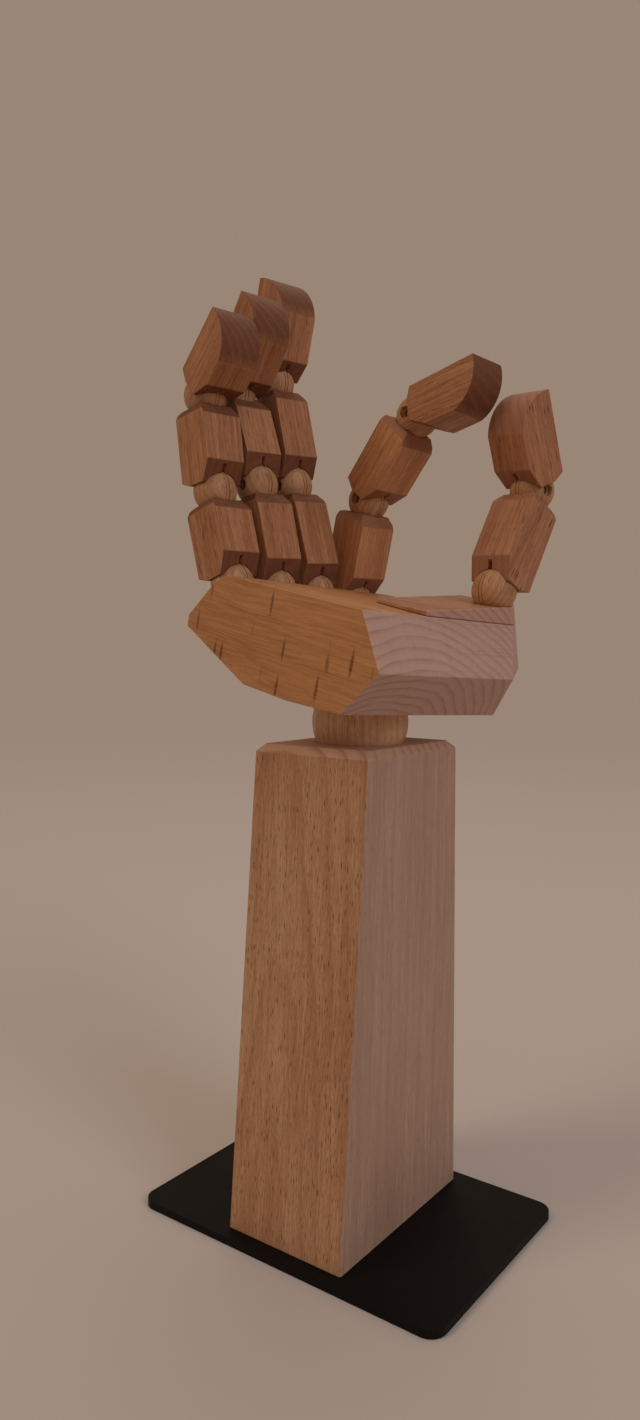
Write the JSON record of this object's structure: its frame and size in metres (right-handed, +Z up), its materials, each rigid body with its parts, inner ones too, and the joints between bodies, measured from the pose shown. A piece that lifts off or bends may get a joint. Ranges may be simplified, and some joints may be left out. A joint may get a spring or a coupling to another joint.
{
  "type": "articulated wooden hand on a post",
  "caption": "Jointed wooden artist hand with ball-and-pin finger joints on a ball wrist, standing on a tapered wooden post fixed to a flat black metal plate.",
  "frame": {"origin": "centre of the base plate underside, on the surface it stands on", "axes": "+Z up along the post; X along the plate length, fingers towards -X and heel of the hand towards +X; thumb side towards +Y"},
  "size_m": [0.094, 0.0751, 0.2617],
  "materials": {
    "beech": "oiled satin, long grain with short dark flecks, end grain on the heel and fingertips",
    "ball_wood": "oiled satin, turned, slightly lighter than the blocks",
    "black_metal": "matte black powder coat",
    "steel": "dull plated steel"
  },
  "bodies": {
    "base": {"base_plate": "black_metal", "base_screw_a": "steel", "base_screw_b": "steel", "post": "beech"},
    "wrist": {"wrist_dowel": "ball_wood", "wrist_ball": "ball_wood"},
    "wrist_link": {"wrist_pin": "steel"},
    "hand": {"palm": "beech", "thumb_block": "beech", "thumb_peg": "ball_wood"},
    "little_knuckle": {"little_ball1": "ball_wood", "little_pin1": "steel"},
    "little_1": {"little_seg1": "beech", "little_ball2": "ball_wood", "little_pin2": "steel"},
    "little_2": {"little_seg2": "beech", "little_ball3": "ball_wood", "little_pin3": "steel"},
    "little_3": {"little_seg3": "beech"},
    "ring_knuckle": {"ring_ball1": "ball_wood", "ring_pin1": "steel"},
    "ring_1": {"ring_seg1": "beech", "ring_ball2": "ball_wood", "ring_pin2": "steel"},
    "ring_2": {"ring_seg2": "beech", "ring_ball3": "ball_wood", "ring_pin3": "steel"},
    "ring_3": {"ring_seg3": "beech"},
    "middle_knuckle": {"middle_ball1": "ball_wood", "middle_pin1": "steel"},
    "middle_1": {"middle_seg1": "beech", "middle_ball2": "ball_wood", "middle_pin2": "steel"},
    "middle_2": {"middle_seg2": "beech", "middle_ball3": "ball_wood", "middle_pin3": "steel"},
    "middle_3": {"middle_seg3": "beech"},
    "index_knuckle": {"index_ball1": "ball_wood", "index_pin1": "steel"},
    "index_1": {"index_seg1": "beech", "index_ball2": "ball_wood", "index_pin2": "steel"},
    "index_2": {"index_seg2": "beech", "index_ball3": "ball_wood", "index_pin3": "steel"},
    "index_3": {"index_seg3": "beech"},
    "thumb_knuckle": {"thumb_ball1": "ball_wood", "thumb_pin1": "steel"},
    "thumb_1": {"thumb_seg1": "beech", "thumb_ball2": "ball_wood", "thumb_pin2": "steel"},
    "thumb_2": {"thumb_seg2": "beech"}
  },
  "joints": [
    {"name": "wrist_turn", "type": "hinge", "parent": "base", "child": "wrist", "pos_m": [0.002, 0.0013, 0.1354], "axis": [0, 0, 1], "range_deg": [-90, 90]},
    {"name": "wrist_bend", "type": "hinge", "parent": "wrist", "child": "wrist_link", "pos_m": [0.002, 0.0013, 0.1354], "axis": [0.1809, 0.9827, -0.0402], "range_deg": [-25, 15]},
    {"name": "wrist_tilt", "type": "hinge", "parent": "wrist_link", "child": "hand", "pos_m": [0.002, 0.0013, 0.1354], "axis": [0.9622, -0.1853, -0.1994], "range_deg": [-12, 12]},
    {"name": "little_sway", "type": "hinge", "parent": "hand", "child": "little_knuckle", "pos_m": [-0.02893, -0.01532, 0.1721], "axis": [-0.2034, -0.0026, -0.9791], "range_deg": [-8, 1]},
    {"name": "little_bend1", "type": "hinge", "parent": "little_knuckle", "child": "little_1", "pos_m": [-0.02893, -0.01532, 0.1721], "axis": [0.1589, 0.9872, 0.0133], "range_deg": [-46, 26]},
    {"name": "little_bend2", "type": "hinge", "parent": "little_1", "child": "little_2", "pos_m": [-0.03614, -0.0145, 0.19759], "axis": [0.1816, 0.9832, 0.0163], "range_deg": [-12, 60]},
    {"name": "little_bend3", "type": "hinge", "parent": "little_2", "child": "little_3", "pos_m": [-0.04, -0.01423, 0.224], "axis": [0.2117, 0.9773, 0.0031], "range_deg": [-60, 22]},
    {"name": "ring_sway", "type": "hinge", "parent": "hand", "child": "ring_knuckle", "pos_m": [-0.02618, -0.00038, 0.17149], "axis": [-0.2034, -0.0026, -0.9791], "range_deg": [-1, 1]},
    {"name": "ring_bend1", "type": "hinge", "parent": "ring_knuckle", "child": "ring_1", "pos_m": [-0.02618, -0.00038, 0.17149], "axis": [0.1788, 0.9825, 0.0522], "range_deg": [-52, 20]},
    {"name": "ring_bend2", "type": "hinge", "parent": "ring_1", "child": "ring_2", "pos_m": [-0.03266, -0.00076, 0.20078], "axis": [0.1744, 0.9834, 0.0493], "range_deg": [-4, 75]},
    {"name": "ring_bend3", "type": "hinge", "parent": "ring_2", "child": "ring_3", "pos_m": [-0.04116, -0.00057, 0.22714], "axis": [0.2217, 0.9751, -0.008], "range_deg": [-58, 20]},
    {"name": "middle_sway", "type": "hinge", "parent": "hand", "child": "middle_knuckle", "pos_m": [-0.02343, 0.01456, 0.17088], "axis": [-0.2034, -0.0026, -0.9791], "range_deg": [-1, 2]},
    {"name": "middle_bend1", "type": "hinge", "parent": "middle_knuckle", "child": "middle_1", "pos_m": [-0.02343, 0.01456, 0.17088], "axis": [0.1649, 0.9846, 0.0583], "range_deg": [-50, 20]},
    {"name": "middle_bend2", "type": "hinge", "parent": "middle_1", "child": "middle_2", "pos_m": [-0.03166, 0.01407, 0.20242], "axis": [0.1643, 0.9846, 0.0597], "range_deg": [-8, 70]},
    {"name": "middle_bend3", "type": "hinge", "parent": "middle_2", "child": "middle_3", "pos_m": [-0.03805, 0.01329, 0.23274], "axis": [0.202, 0.979, 0.0263], "range_deg": [-32, 45]},
    {"name": "index_sway", "type": "hinge", "parent": "hand", "child": "index_knuckle", "pos_m": [-0.02068, 0.02949, 0.17027], "axis": [-0.2034, -0.0026, -0.9791], "range_deg": [-2, 8]},
    {"name": "index_bend1", "type": "hinge", "parent": "index_knuckle", "child": "index_1", "pos_m": [-0.02068, 0.02949, 0.17027], "axis": [0.2362, 0.9717, 0.0028], "range_deg": [-80, 0]},
    {"name": "index_bend2", "type": "hinge", "parent": "index_1", "child": "index_2", "pos_m": [-0.01351, 0.02767, 0.19841], "axis": [0.1999, 0.9792, -0.0336], "range_deg": [-30, 0]},
    {"name": "index_bend3", "type": "hinge", "parent": "index_2", "child": "index_3", "pos_m": [0.00458, 0.02472, 0.2201], "axis": [0.1655, 0.9849, -0.0506], "range_deg": [-42, 5]},
    {"name": "thumb_sway", "type": "hinge", "parent": "hand", "child": "thumb_knuckle", "pos_m": [0.03163, 0.01987, 0.17036], "axis": [-0.1809, -0.9827, 0.0402], "range_deg": [-20, 0]},
    {"name": "thumb_bend1", "type": "hinge", "parent": "thumb_knuckle", "child": "thumb_1", "pos_m": [0.03163, 0.01987, 0.17036], "axis": [0.9784, -0.2045, -0.0288], "range_deg": [-14, 20]},
    {"name": "thumb_bend2", "type": "hinge", "parent": "thumb_1", "child": "thumb_2", "pos_m": [0.03538, 0.03393, 0.19807], "axis": [0.9515, -0.2966, -0.0819], "range_deg": [-55, 22]}
  ]
}
